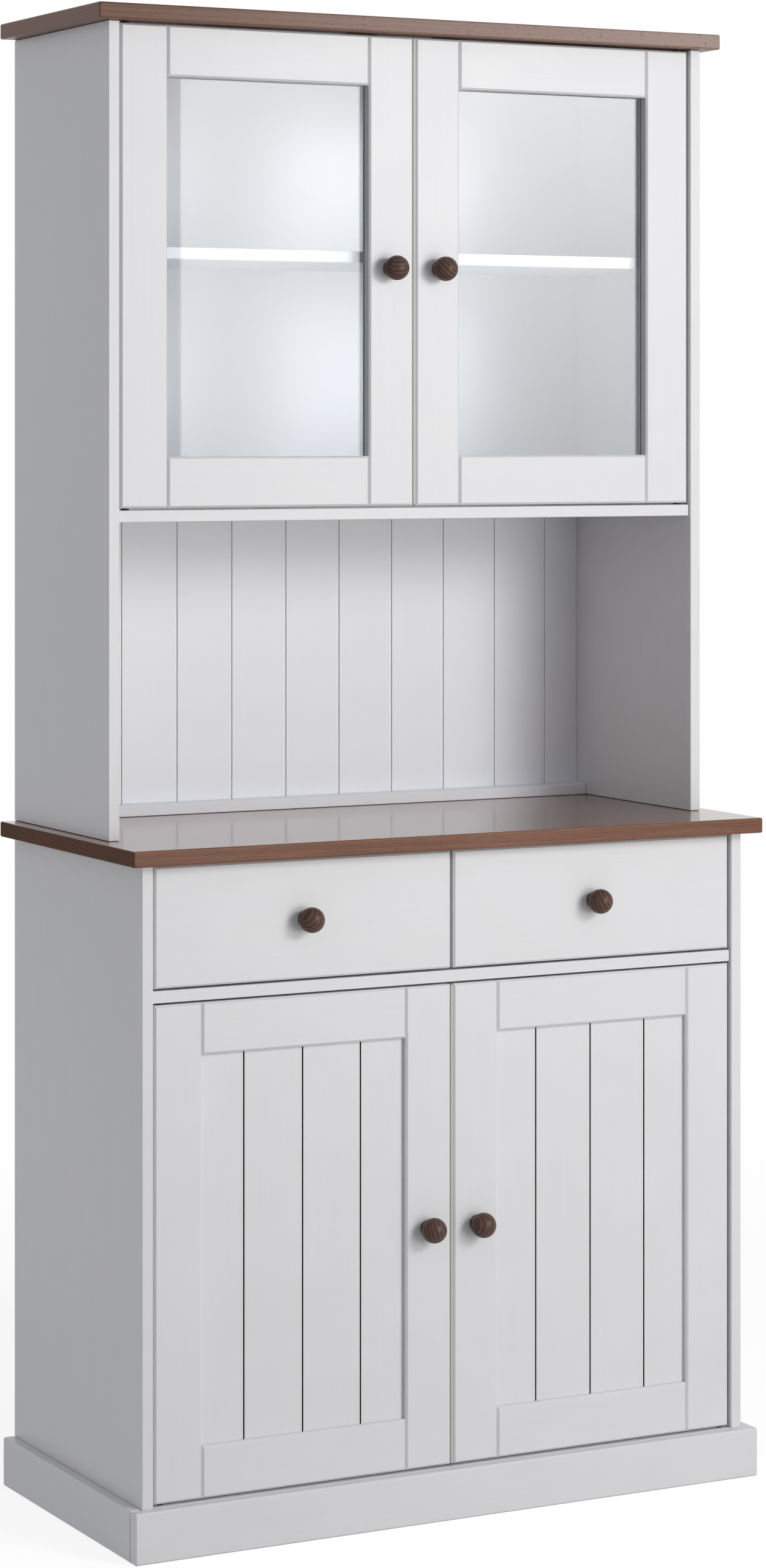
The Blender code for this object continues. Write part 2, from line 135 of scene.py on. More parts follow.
class BuffetSizes(bpy.types.PropertyGroup):
    """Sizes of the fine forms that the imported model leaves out."""

    arris: length("Arris", "Rounding of a painted piece's edges", 0.5)
    top_round: length("Top rounding", "Rounding of the two stained tops' edges", 2.6)
    slot_width: length("Slot width", "Width of the slots in a lower door's panel", 2.0)
    slot_depth: length("Slot depth", "Depth of the slots in a lower door's panel", 3.2)
    slot_pitch: length("Slot pitch", "From slot to slot in a lower door's panel", 81)
    groove_width: length("Groove width", "Width of the grooves in the niche's back", 5.0)
    groove_depth: length("Groove depth", "Depth of the grooves in the niche's back", 1.8)
    groove_pitch: length("Groove pitch", "From groove to groove in the niche's back", 80.6)
    joint_width: length("Joint width", "Open joint at the right of each groove in the niche's back", 0.5)
    pane_arris: length("Pane arris", "Ground edge of a pane", 0.6)
    collar_radius: length("Collar radius", "Radius of a knob's collar", 11.2)
    collar_height: length("Collar height", "Height of a knob's collar", 4.5)
    neck_radius: length("Neck radius", "Radius of a knob's neck", 10.0)
    nail_pitch: length("Nail pitch", "From nail to nail along the backs", 95)
    nail_radius: length("Nail radius", "Radius of a nail's head", 1.9)
    strip_width: length("Strip width", "Width of the strip over the backs' joint", 18)
    box_wall: length("Box wall", "Thickness of a drawer box's front wall", 12)
    screw_radius: length("Screw radius", "Radius of the head of a knob's screw", 3.8)
    pin_radius: length("Pin radius", "Radius of a shelf pin", 3)
    pin_reach: length("Pin reach", "How far a shelf pin stands out of its board", 8)
    pin_inset: length("Pin inset", "From a shelf's front or back to its pins", 45)
    catch_length: length("Catch length", "Length of a door catch", 40)
    catch_depth: length("Catch depth", "Depth of a door catch", 13)
    catch_height: length("Catch height", "Height of a door catch", 14)
    catch_inset: length("Catch inset", "From the buffet's middle to a door catch's middle", 62)
    strip_depth: length("Meeting strip depth", "How far a pair's meeting strip lies behind its faces", 0.8)


class BuffetColours(bpy.types.PropertyGroup):
    """Colours of the finishes."""

    lacquer: colour("Lacquer", "White lacquer", "#e6e6e8")
    # A whiter copy of the lacquer for the niche's back and rail: painted light that brightens them beyond the
    # rest
    painted_light_white: colour("Brightened lacquer", "Lacquer on the niche's back and rail", "#f2f4f8")
    stain_dark: colour("Stain, late wood", "Stain on the dark growth lines", "#5f4030")
    stain_mid: colour("Stain", "Stain on the wood between", "#785443")
    stain_light: colour("Stain, early wood", "Stain on the pale growth lines", "#876350")
    # A pale grey that stands in for the sheen of the studio's light: painted reflection, not a real greying
    reflection_grey: colour("Grey of painted reflection", "Grey mixed into the stain as a painted reflection", "#b09c94")
    # A paler, more orange stain, laid on one band of the tops' rounded front edges
    stain_edge_line: colour("Edge line stain", "Paler, more orange stain along one rounded edge", "#a0683f")
    knob_dark: colour("Knob, late wood", "Dark figure of the knobs", "#38241d")
    knob_mid: colour("Knob", "Ground colour of the knobs", "#573d34")
    knob_light: colour("Knob, early wood", "Pale figure of the knobs", "#6f5246")
    # Bare pine, darker than its own colour: painted shade deep in the slots
    slot_wood_and_shade: colour("Bare wood", "Unpainted wood deep in the slots", "#7d6a5a")
    fibre: colour("Fibre", "Raw rear face of the backs", "#b08d68")
    glass: colour("Glass", "Tint of the panes", "#f1f5f9")
    zinc: colour("Zinc", "Plated nails and screws", "#c4c4c2")
    black_oxide: colour("Black oxide", "Pivots of the doors", "#35363a")
    plastic: colour("Plastic", "Moulded catches and strips", "#dedfdc")
    seal: colour("Seal", "Strips between the doors of a pair", "#bfbeb8")


# Finishes


def palette():
    return bpy.context.scene.buffet_colours


def feed(tree, node, links):
    """Give inputs of a node their values, or the outputs that feed them."""
    for socket, value in links.items():
        if isinstance(value, bpy.types.NodeSocket):
            tree.links.new(value, node.inputs[socket])
        else:
            node.inputs[socket].default_value = value


def add_node(tree, kind, links=None, stops=None, **settings):
    """Add a node with its settings, a ramp's colour stops and what its inputs get."""
    node = tree.nodes.new(kind)
    for name, value in settings.items():
        setattr(node, name, value)
    for place, (position, tone) in enumerate(stops or ()):
        ramp = node.color_ramp.elements
        stop = ramp[place] if place < 2 else ramp.new(position)
        stop.position = position
        stop.color = (*tone, 1.0)
    feed(tree, node, links or {})
    return node


def new_material(name):
    """A material, its nodes, its shader and the object's own coordinates in metres."""
    material = bpy.data.materials.new(name)
    material.use_nodes = True
    tree = material.node_tree
    place = add_node(tree, "ShaderNodeTexCoord").outputs["Object"]
    return material, tree, tree.nodes["Principled BSDF"], place


def stretched(tree, place, across, along, axis):
    """Coordinates counted in pattern widths, drawn out along one axis."""
    scale = [1 / across] * 3
    scale[axis] = 1 / along
    return add_node(tree, "ShaderNodeMapping", {"Vector": place, "Scale": scale}).outputs["Vector"]


def sprayed_lacquer(name, axis, white):
    """Two-pack lacquer, sprayed satin over primed pine. The eye gets an even white with a soft sheen,
    faint grain that shows through the film along the board, and the spray's slight orange peel."""
    material, tree, shader, place = new_material(f"sprayed_{name}_lacquer_" + "xyz"[axis])
    # Grain lines 3 mm apart and 160 mm long, peel 2.4 mm across, clouds 70 mm across
    lines = stretched(tree, place, 3 * MM, 160 * MM, axis)
    grain = add_node(tree, "ShaderNodeTexNoise", {"Vector": lines, "Scale": 1.0, "Detail": 3.0})
    peel = add_node(tree, "ShaderNodeTexNoise", {"Vector": place, "Scale": 1 / (2.4 * MM), "Detail": 1.0})
    cloud = add_node(tree, "ShaderNodeTexNoise", {"Vector": place, "Scale": 1 / (70 * MM), "Detail": 3.0})
    warm = (white[0] * 0.985, white[1] * 0.98, white[2] * 0.975)
    tone = add_node(tree, "ShaderNodeValToRGB", {"Fac": cloud.outputs["Fac"]}, [(0.35, warm), (0.65, white)])
    lined = add_node(tree, "ShaderNodeMix", {0: 0.10, 6: tone.outputs["Color"], 7: grain.outputs["Fac"]},
                     data_type="RGBA", blend_type="SOFT_LIGHT")
    sheen = add_node(tree, "ShaderNodeMapRange",
                     {"Value": cloud.outputs["Fac"], "To Min": 0.30, "To Max": 0.42})
    ridge = add_node(tree, "ShaderNodeBump",
                     {"Height": grain.outputs["Fac"], "Strength": 0.5, "Distance": 0.05 * MM})
    bumps = add_node(tree, "ShaderNodeBump",
                     {"Height": peel.outputs["Fac"], "Strength": 0.4, "Distance": 0.03 * MM,
                      "Normal": ridge.outputs[0]})
    feed(tree, shader, {"Base Color": lined.outputs[2], "Roughness": sheen.outputs[0],
                        "Normal": bumps.outputs[0]})
    return material


def stained_wood(name, axis, heart, tones, fibre_share, coat, coat_rough,
                 painted_reflection=(0.0, 0.0), gloss=0.15, warp=1.4):
    """Pine, stained brown and lacquered. The eye gets growth rings cut lengthways into long lines and
    across into arcs, with fine fibres and short dark pores, under a clear film that mirrors at a low
    angle. heart is where the rings' middle lies and tones go from dark to light. The pair of shares
    after coat_rough mixes a pale grey into the stain at the left and right ends: a painted reflection
    of the studio's light, not a change in the wood. gloss is the bare wood's own and warp is how far
    the rings stray."""
    dark, mid, light = tones
    material, tree, shader, place = new_material(name)
    # The rings' middle bends by up to 8 mm, over patches 30 mm wide and 500 mm long
    wander = stretched(tree, place, 30 * MM, 500 * MM, axis)
    bend = add_node(tree, "ShaderNodeTexNoise", {"Vector": wander, "Scale": 1.0, "Detail": 2.0})
    spread = [1.0, 1.0, 1.0]
    spread[axis] = 0.04
    centred = add_node(tree, "ShaderNodeMapping", {"Vector": place, "Location": heart, "Scale": spread})
    pushed = add_node(tree, "ShaderNodeVectorMath",
                      {0: bend.outputs["Color"], 1: (8 * MM, 8 * MM, 8 * MM), 2: centred.outputs[0]},
                      operation="MULTIPLY_ADD")
    # A wave texture draws 20 / 2 pi rings a unit
    rings = add_node(tree, "ShaderNodeTexWave",
                     {"Vector": pushed.outputs[0], "Scale": math.pi / (10 * RING), "Distortion": warp,
                      "Detail": 2.0},
                     wave_type="RINGS", rings_direction="XYZ"[axis], wave_profile="SAW")
    # Fibres 0.9 mm wide and 90 mm long, pores 0.8 mm by 9 mm, uneven patches 120 mm by 260 mm
    fibres, pores, patches = (
        add_node(tree, "ShaderNodeTexNoise",
                 {"Vector": stretched(tree, place, across * MM, along * MM, axis), "Scale": 1.0,
                  "Detail": detail}).outputs["Fac"]
        for across, along, detail in ((0.9, 90, 3.0), (0.8, 9, 0.0), (120, 260, 1.0))
    )
    figure = add_node(tree, "ShaderNodeMix", {0: fibre_share, 2: rings.outputs["Fac"], 3: fibres},
                      data_type="FLOAT")
    uneven = add_node(tree, "ShaderNodeMath", {0: patches, 1: 0.4, 2: figure.outputs[0]},
                      operation="MULTIPLY_ADD")
    stained = add_node(tree, "ShaderNodeValToRGB", {"Fac": uneven.outputs[0]},
                       [(0.40, dark), (0.72, mid), (1.0, light)]).outputs["Color"]
    # Towards the ends a pale grey is mixed in as painted reflection, most at the crown's right end
    if any(painted_reflection):
        left, right = painted_reflection
        across = add_node(tree, "ShaderNodeSeparateXYZ", {0: place})
        share = add_node(tree, "ShaderNodeMapRange",
                         {"Value": across.outputs["X"], "From Min": -0.40, "From Max": 0.42,
                          "To Min": left, "To Max": right})
        grey = (*palette().reflection_grey, 1.0)
        stained = add_node(tree, "ShaderNodeMix", {0: share.outputs[0], 6: stained, 7: grey},
                           data_type="RGBA").outputs[2]
    holes = add_node(tree, "ShaderNodeMapRange", {"Value": pores, "From Min": 0.17, "From Max": 0.32})
    pitted = add_node(tree, "ShaderNodeMix",
                      {0: holes.outputs[0], 6: [c * 0.7 for c in dark] + [1.0], 7: stained},
                      data_type="RGBA")
    relief = add_node(tree, "ShaderNodeMix", {0: 0.4, 2: holes.outputs[0], 3: fibres}, data_type="FLOAT")
    bumps = add_node(tree, "ShaderNodeBump",
                     {"Height": relief.outputs[0], "Strength": 0.3, "Distance": 0.05 * MM})
    rough = add_node(tree, "ShaderNodeMapRange", {"Value": fibres, "To Min": 0.35, "To Max": 0.55})
    feed(tree, shader, {"Base Color": pitted.outputs[2], "Roughness": rough.outputs[0],
                        "Normal": bumps.outputs[0], "Specular IOR Level": gloss, "Coat Weight": coat,
                        "Coat Roughness": coat_rough})
    return material


def edge_line_stain():
    """The same stain, paler and more orange in broken streaks, for one band of a rounded edge. The eye gets a
    broken orange line.
    """
    material, tree, shader, place = new_material("stain_paler_edge_line")
    # Streaks 6 mm high and 70 mm long
    streaks = add_node(tree, "ShaderNodeTexNoise",
                       {"Vector": stretched(tree, place, 6 * MM, 70 * MM, X), "Scale": 1.0, "Detail": 4.0})
    tone = add_node(tree, "ShaderNodeValToRGB", {"Fac": streaks.outputs["Fac"]},
                    [(0.35, palette().stain_mid), (0.65, palette().stain_edge_line)])
    feed(tree, shader, {"Base Color": tone.outputs["Color"], "Roughness": 0.5, "Specular IOR Level": 0.25})
    return material


def slot_wood_and_shade():
    """Pine that the spray doesn't reach, darkened further as painted shade deep in the slots. The eye gets a
    dull brown shadow line.
    """
    base = palette().slot_wood_and_shade
    material, tree, shader, place = new_material("bare_pine_and_painted_shade")
    # Streaks 1 mm wide and 20 mm long
    streaks = add_node(tree, "ShaderNodeTexNoise",
                       {"Vector": stretched(tree, place, 1 * MM, 20 * MM, Z), "Scale": 1.0, "Detail": 2.0})
    tone = add_node(tree, "ShaderNodeValToRGB", {"Fac": streaks.outputs["Fac"]},
                    [(0.3, [c * 0.7 for c in base]), (0.7, base)])
    feed(tree, shader, {"Base Color": tone.outputs["Color"], "Roughness": 0.85})
    return material


def raw_hardboard():
    """Wet-pressed hardboard, left raw. The eye gets brown fibres and the mesh print of the press."""
    base = palette().fibre
    material, tree, shader, place = new_material("raw_hardboard")
    # Fibre clots 4 mm across; the wire mesh is 2 mm and drawn at 3 mm to show
    clots = add_node(tree, "ShaderNodeTexNoise", {"Vector": place, "Scale": 1 / (4 * MM), "Detail": 4.0})
    upright, level = (
        add_node(tree, "ShaderNodeTexWave",
                 {"Vector": place, "Scale": math.pi / (10 * 3 * MM), "Distortion": 0.3},
                 bands_direction=direction).outputs["Fac"]
        for direction in "XZ"
    )
    mesh = add_node(tree, "ShaderNodeMath", {0: upright, 1: level}, operation="MULTIPLY")
    tone = add_node(tree, "ShaderNodeValToRGB", {"Fac": clots.outputs["Fac"]},
                    [(0.3, [c * 0.75 for c in base]), (0.7, [min(1.0, c * 1.15) for c in base])])
    bumps = add_node(tree, "ShaderNodeBump",
                     {"Height": mesh.outputs[0], "Strength": 0.6, "Distance": 0.3 * MM})
    feed(tree, shader, {"Base Color": tone.outputs["Color"], "Roughness": 0.8, "Normal": bumps.outputs[0]})
    return material


def coated_hardboard():
    """Hardboard with a rolled white coat. The eye gets a flat, slightly stippled white."""
    white = palette().lacquer
    material, tree, shader, place = new_material("roller_coated_hardboard")
    # Roller stipple 2 mm across, clouds 90 mm across
    stipple = add_node(tree, "ShaderNodeTexNoise", {"Vector": place, "Scale": 1 / (2 * MM), "Detail": 2.0})
    cloud = add_node(tree, "ShaderNodeTexNoise", {"Vector": place, "Scale": 1 / (90 * MM), "Detail": 2.0})
    tone = add_node(tree, "ShaderNodeValToRGB", {"Fac": cloud.outputs["Fac"]},
                    [(0.35, [c * 0.94 for c in white]), (0.65, white)])
    bumps = add_node(tree, "ShaderNodeBump",
                     {"Height": stipple.outputs["Fac"], "Strength": 0.4, "Distance": 0.05 * MM})
    feed(tree, shader, {"Base Color": tone.outputs["Color"], "Roughness": 0.5, "Normal": bumps.outputs[0]})
    return material


def marked_surface(name, tone, across, detail, dull, settings):
    """A surface with marks of one width, which vary its roughness between two values."""
    material, tree, shader, place = new_material(name)
    marks = add_node(tree, "ShaderNodeTexNoise", {"Vector": place, "Scale": 1 / across, "Detail": detail})
    rough = add_node(tree, "ShaderNodeMapRange",
                     {"Value": marks.outputs["Fac"], "To Min": dull[0], "To Max": dull[1]})
    feed(tree, shader, {"Base Color": (*tone, 1.0), "Roughness": rough.outputs[0], **settings})
    return material


def float_glass():
    """Clear float glass, with dust and wiping marks 60 mm across. The eye gets what lies behind, under
    a pale reflection of the studio."""
    return marked_surface("float_glass", palette().glass, 60 * MM, 3.0, (0.0, 0.03),
                          {"IOR": 1.52, "Transmission Weight": 1.0})


def zinc_plate():
    """Steel, zinc plated in a barrel. The eye gets a grey metal with fine frosting, 1 mm across."""
    return marked_surface("zinc_plated_steel", palette().zinc, 1 * MM, 3.0, (0.22, 0.45),
                          {"Metallic": 1.0})


def black_oxide():
    """Steel, blackened in a hot salt bath. The eye gets a near black with a dull grey shine, and turning
    marks 1.5 mm across."""
    return marked_surface("blackened_steel", palette().black_oxide, 1.5 * MM, 2.0, (0.45, 0.65),
                          {"Metallic": 0.6})


def moulded_plastic(name, tone):
    """Polypropylene, moulded. The eye gets a pale, faintly grained plastic."""
    material, tree, shader, place = new_material(name)
    # Spark grain of the mould, 0.8 mm across
    spark = add_node(tree, "ShaderNodeTexVoronoi", {"Vector": place, "Scale": 1 / (0.8 * MM)})
    bumps = add_node(tree, "ShaderNodeBump",
                     {"Height": spark.outputs["Distance"], "Strength": 0.3, "Distance": 0.03 * MM})
    feed(tree, shader, {"Base Color": (*tone, 1.0), "Roughness": 0.45, "Normal": bumps.outputs[0]})
    return material


def top_wood(name, node, fibre_share, coat, coat_rough, shade, painted_reflection=(0.0, 0.0), gloss=0.15):
    """The tops' stain. shade darkens it, as end grain drinks more."""
    colours = palette()
    tones = [
        [c * shade for c in tone] for tone in (colours.stain_dark, colours.stain_mid, colours.stain_light)
    ]
    heart = (0.0, 0.04, 0.035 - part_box(node)[0].z)
    return stained_wood(name, X, heart, tones, fibre_share, coat, coat_rough, painted_reflection, gloss)


def knob_wood():
    tones = (palette().knob_dark, palette().knob_mid, palette().knob_light)
    return stained_wood("stained_turned_pine", X, (0.0, 0.055, -0.012), tones, 0.42, 0.25, 0.30, warp=5.0)


MAKERS = {
    "worktop_face": lambda: top_wood("stained_pine_polished", "worktop", 0.5, 1.0, 0.15, 1.15),
    "worktop_edge": lambda: top_wood("stained_pine_satin", "worktop", 0.85, 0.05, 0.30, 1.06),
    "worktop_end": lambda: top_wood("stained_pine_end_grain", "worktop", 0.3, 0.0, 0.40, 0.76, gloss=0.02),
    "crown_face": lambda: top_wood("stained_crown_upper_face", "crown_board", 0.5, 0.3, 0.25, 0.85),
    # The crown's front and end grain turn paler and greyer towards the right: painted reflection
    "crown_edge": lambda: top_wood("stained_crown_front", "crown_board", 0.7, 0.10, 0.30, 1.0, (0.0, 0.75)),
    "crown_end": lambda: top_wood(
        "stained_crown_end_grain", "crown_board", 0.3, 0.06, 0.40, 1.0, (0.13, 0.6)
    ),
    "knob": knob_wood,
    "edge_line": edge_line_stain,
    "bare": slot_wood_and_shade,
    "raw": raw_hardboard,
    "coated": coated_hardboard,
    "glass": float_glass,
    "zinc": zinc_plate,
    "blackened": black_oxide,
    "plastic": lambda: moulded_plastic("moulded_polypropylene", palette().plastic),
    "seal": lambda: moulded_plastic("extruded_soft_polypropylene", palette().seal),
    "lacquer_x": lambda: sprayed_lacquer("satin", X, palette().lacquer),
    "lacquer_y": lambda: sprayed_lacquer("satin", Y, palette().lacquer),
    "lacquer_z": lambda: sprayed_lacquer("satin", Z, palette().lacquer),
    # The niche's lacquer is a whiter copy of the rest: painted light
    "painted_light_lacquer_x": lambda: sprayed_lacquer("niche", X, palette().painted_light_white),
    "painted_light_lacquer_z": lambda: sprayed_lacquer("niche", Z, palette().painted_light_white),
}
MADE = {}


def finish(kind):
    """The material of one finish, made at its first use."""
    if kind not in MADE:
        MADE[kind] = MAKERS[kind]()
    return MADE[kind]


def lacquer_along(low, high):
    """Lacquer whose grain follows the longest side of a box."""
    size = high - low
    return finish("lacquer_" + "xyz"[max(range(3), key=lambda axis: size[axis])])


# Shapes and pieces


def rounded_box(low, high, radius, segments=3):
    """A box between two corners, with rounded edges."""
    low, high = Vector(low), Vector(high)
    shape = bmesh.new()
    bmesh.ops.create_cube(shape, size=1.0)
    bmesh.ops.scale(shape, vec=high - low, verts=shape.verts)
    bmesh.ops.translate(shape, vec=(low + high) / 2, verts=shape.verts)
    bmesh.ops.bevel(shape, geom=shape.edges[:], offset=radius, segments=segments, profile=0.5,
                    affect="EDGES", clamp_overlap=True, material=-1)
    return shape


def prism(outline, low, high):
    """An upright solid over a closed (x, y) outline. Returns it and its side faces in the outline's order."""
    shape = bmesh.new()
    bottom = [shape.verts.new((x, y, low)) for x, y in outline]
    top = [shape.verts.new((x, y, high)) for x, y in outline]
    sides = []
    for i in range(len(outline)):
        j = (i + 1) % len(outline)
        sides.append(shape.faces.new((bottom[i], bottom[j], top[j], top[i])))
    shape.faces.new(bottom[::-1])
    shape.faces.new(top)
    bmesh.ops.recalc_face_normals(shape, faces=shape.faces)
    return shape, sides


def turned_shape(profile, sides):
    """A solid of revolution about Z from (radius, height) points, bottom to top, closed at both ends."""
    shape = bmesh.new()
    rings = []
    for radius, height in profile:
        ring = []
        for k in range(sides):
            angle = 2 * math.pi * k / sides
            ring.append(shape.verts.new((radius * math.cos(angle), radius * math.sin(angle), height)))
        rings.append(ring)
    for low, high in zip(rings, rings[1:]):
        for k in range(sides):
            j = (k + 1) % sides
            shape.faces.new((low[k], low[j], high[j], high[k]))
    shape.faces.new(rings[0][::-1])
    shape.faces.new(rings[-1])
    return shape


def add_piece(name, shape, materials, body, nodes=(), matrix=None):
    """Turn a shape into a piece that rides on a body, takes its materials and may stand for nodes."""
    mesh = bpy.data.meshes.new(name)
    shape.to_mesh(mesh)
    shape.free()
    for material in materials:
        mesh.materials.append(material)
    mesh.shade_smooth()
    mesh.set_sharp_from_angle(angle=math.radians(40))
    obj = bpy.data.objects.new(name, mesh)
    bpy.context.scene.collection.objects.link(obj)
    if matrix:
        obj.matrix_world = matrix
    normals = obj.modifiers.new("face_weighted_normals", "WEIGHTED_NORMAL")
    normals.weight = 100
    normals.keep_sharp = True
    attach(obj, body)
    if nodes:
        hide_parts(*nodes)
    return obj


def join_shapes(shapes):
    """One shape that holds several solids."""
    whole = bmesh.new()
    for shape in shapes:
        mesh = bpy.data.meshes.new("part")
        shape.to_mesh(mesh)
        shape.free()
        whole.from_mesh(mesh)
        bpy.data.meshes.remove(mesh)
    return whole


def dress_node(name, material, arris):
    """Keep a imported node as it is, with a finish and softened edges."""
    obj = NODES[name]
    for slot in obj.material_slots:
        slot.material = material
    weld = obj.modifiers.new("weld", "WELD")
    weld.merge_threshold = 0.01 * MM
    merge = obj.modifiers.new("flat_faces", "DECIMATE")
    merge.decimate_type = "DISSOLVE"
    merge.angle_limit = math.radians(0.5)
    soften = obj.modifiers.new("soft_edges", "BEVEL")
    soften.width = arris
    soften.segments = 2
    soften.limit_method = "ANGLE"
    soften.angle_limit = math.radians(25)
    normals = obj.modifiers.new("face_weighted_normals", "WEIGHTED_NORMAL")
    normals.weight = 100


# Stage


class BUFFET_OT_stage(bpy.types.Operator):
    """Add the floor, the surroundings, the lamps and the camera"""

    bl_idname = "buffet.stage"
    bl_label = "Stage"

    def execute(self, context):
        add_surroundings(context.scene)
        add_floor(context.scene)
        for softbox in SOFTBOXES:
            add_lamp(context.scene, *softbox)
        add_camera(context.scene)
        context.scene.view_settings.view_transform = "Standard"
        return {"FINISHED"}


def seen_directly(tree):
    """1 for what the camera sees, straight or by way of metal or glass, and 0 for light on the object."""
    path = add_node(tree, "ShaderNodeLightPath").outputs
    seen = path["Is Camera Ray"]
    for kind in ("Is Glossy Ray", "Is Transmission Ray"):
        seen = add_node(tree, "ShaderNodeMath", {0: seen, 1: path[kind]}, operation="MAXIMUM").outputs[0]
    # A ray that has already met a matt surface carries light and not a picture
    first = add_node(tree, "ShaderNodeMath", {0: path["Diffuse Depth"], 1: 0.5}, operation="LESS_THAN")
    return add_node(tree, "ShaderNodeMath", {0: seen, 1: first.outputs[0]}, operation="MULTIPLY").outputs[0]


def add_surroundings(scene):
    world = bpy.data.worlds.new("studio")
    world.use_nodes = True
    tree = world.node_tree
    seen = seen_directly(tree)
    strength = add_node(tree, "ShaderNodeMapRange", {"Value": seen, "To Min": AMBIENT, "To Max": 1.0})
    tint = add_node(tree, "ShaderNodeMix", {0: seen, 6: AMBIENT_TINT, 7: WHITE}, data_type="RGBA")
    feed(tree, tree.nodes["Background"], {"Strength": strength.outputs[0], "Color": tint.outputs[2]})
    scene.world = world


def add_floor(scene):
    """A pale floor that shows white, keeps the buffet's shadow and lights it as pale paper would."""
    shape = bmesh.new()
    bmesh.ops.create_circle(shape, cap_ends=True, radius=FLOOR_RADIUS, segments=96)
    mesh = bpy.data.meshes.new("floor")
    shape.to_mesh(mesh)
    shape.free()
    floor = bpy.data.objects.new("floor", mesh)
    scene.collection.objects.link(floor)

    material, tree, shader, place = new_material("pale_paper_floor")
    tree.nodes.remove(shader)
    paper = add_node(tree, "ShaderNodeBsdfDiffuse", {"Color": (*linear(FLOOR_PAPER), 1.0)})
    # Seen directly, part of the paper's shade is kept and the rest is its own white
    distance = add_node(tree, "ShaderNodeVectorMath", {0: place}, operation="LENGTH")
    share = add_node(tree, "ShaderNodeMapRange",
                     {"Value": distance.outputs["Value"], "From Min": FLOOR_SHADOW_RADIUS,
                      "From Max": FLOOR_SHADOW_RADIUS + FLOOR_FADE, "To Min": 1.0, "To Max": 0.0})
    white = add_node(tree, "ShaderNodeEmission", {"Strength": FLOOR_WHITE})
    far_white = add_node(tree, "ShaderNodeEmission", {"Strength": 1.0})
    near = add_node(tree, "ShaderNodeMixShader", {0: FLOOR_SHADE, 1: white.outputs[0], 2: paper.outputs[0]})
    shown = add_node(tree, "ShaderNodeMixShader",
                     {0: share.outputs[0], 1: far_white.outputs[0], 2: near.outputs[0]})
    either = add_node(tree, "ShaderNodeMixShader",
                      {0: seen_directly(tree), 1: paper.outputs[0], 2: shown.outputs[0]})
    feed(tree, tree.nodes["Material Output"], {"Surface": either.outputs[0]})
    mesh.materials.append(material)


def add_lamp(scene, name, place, target, size, power, tint, core=None, edge=0.0):
    """Add a soft lamp. With a core, counted in its width, it fades from there to edge times its strength."""
    lamp = bpy.data.lights.new(name, "AREA")
    lamp.shape = "RECTANGLE"
    lamp.size, lamp.size_y = size
    lamp.energy = power
    lamp.color = linear(tint)
    obj = bpy.data.objects.new(name, lamp)
    obj.location = place
    obj.rotation_euler = (Vector(target) - Vector(place)).to_track_quat("-Z", "Y").to_euler()
    scene.collection.objects.link(obj)
    if core is not None:
        lamp.use_nodes = True
        tree = lamp.node_tree
        # Across the lamp the place runs from 0 to 1, so its edges lie 0.5 from the middle
        spot = add_node(tree, "ShaderNodeNewGeometry").outputs["Parametric"]
        off = add_node(tree, "ShaderNodeVectorMath", {0: spot, 1: (0.5, 0.5, 0.0)}, operation="DISTANCE")
        fade = add_node(tree, "ShaderNodeMapRange",
                        {"Value": off.outputs["Value"], "From Min": core, "From Max": 0.5, "To Min": 1.0,
                         "To Max": edge},
                        interpolation_type="SMOOTHSTEP")
        feed(tree, tree.nodes["Emission"], {"Strength": fade.outputs[0]})
    return obj


def link_light(lamps, pieces, state="INCLUDE"):
    """Let some lamps light only these pieces, or with EXCLUDE all but these."""
    group = bpy.data.collections.new(f"{lamps[0].name}_{state.lower()}")
    for piece in pieces:
        group.objects.link(piece)
    for entry in group.collection_objects:
        entry.light_linking.link_state = state
    for lamp in lamps:
        lamp.light_linking.receiver_collection = group


def add_camera(scene):
    """The camera stands level, and its shift puts the horizon at the picture's row."""
    camera = bpy.data.cameras.new("camera")
    camera.sensor_width = SENSOR
    camera.lens = FOCAL_PIXELS * SENSOR / PICTURE_H
    camera.shift_y = (HORIZON_ROW - PICTURE_H / 2) / PICTURE_H
    obj = bpy.data.objects.new("camera", camera)
    obj.location = CAMERA_PLACE
    obj.rotation_euler = (math.pi / 2, 0.0, -math.radians(CAMERA_TURN))
    scene.collection.objects.link(obj)
    scene.camera = obj


# Builders of the buffet


class BUFFET_OT_carcass(bpy.types.Operator):
    """Finish the painted boards of the base and the hutch"""

    bl_idname = "buffet.carcass"
    bl_label = "Carcass boards"

    boards = (
        "base_side_left base_side_right base_bottom base_shelf drawer_deck drawer_divider lower_door_stop "
        "plinth_front plinth_left plinth_right hutch_side_left hutch_side_right hutch_floor hutch_shelf"
    ).split()

    def execute(self, context):
        arris = context.scene.buffet_sizes.arris / 2
        for name in self.boards:
            dress_node(name, lacquer_along(*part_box(name)), arris)
        # The niche's rail takes the whiter lacquer: painted light
        dress_node("niche_rail", finish("painted_light_lacquer_x"), arris)
        return {"FINISHED"}


class BUFFET_OT_tops(bpy.types.Operator):
    """Build the stained worktop and crown board"""

    bl_idname = "buffet.tops"
    bl_label = "Stained tops"

    def execute(self, context):
        radius = context.scene.buffet_sizes.top_round
        # The paler orange line runs along the worktop's upper front edge and the crown's lower one
        for name, sanded in (("worktop", 1), ("crown_board", -1)):
            shape = rounded_box(*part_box(name), radius, segments=6)
            for face in shape.faces:
                x, y, z = face.normal
                if y < -0.6 and 0.25 < z * sanded < 0.6:
                    face.material_index = 3
                elif abs(x) > max(abs(y), abs(z)):
                    face.material_index = 2
                else:
                    face.material_index = int(abs(z) < 0.9)
            wood = name.split("_")[0]
            finishes = [finish(f"{wood}_{part}") for part in ("face", "edge", "end")] + [finish("edge_line")]
            add_piece(f"{name}_stained", shape, finishes, BODY_OF[name], (name,))
        return {"FINISHED"}


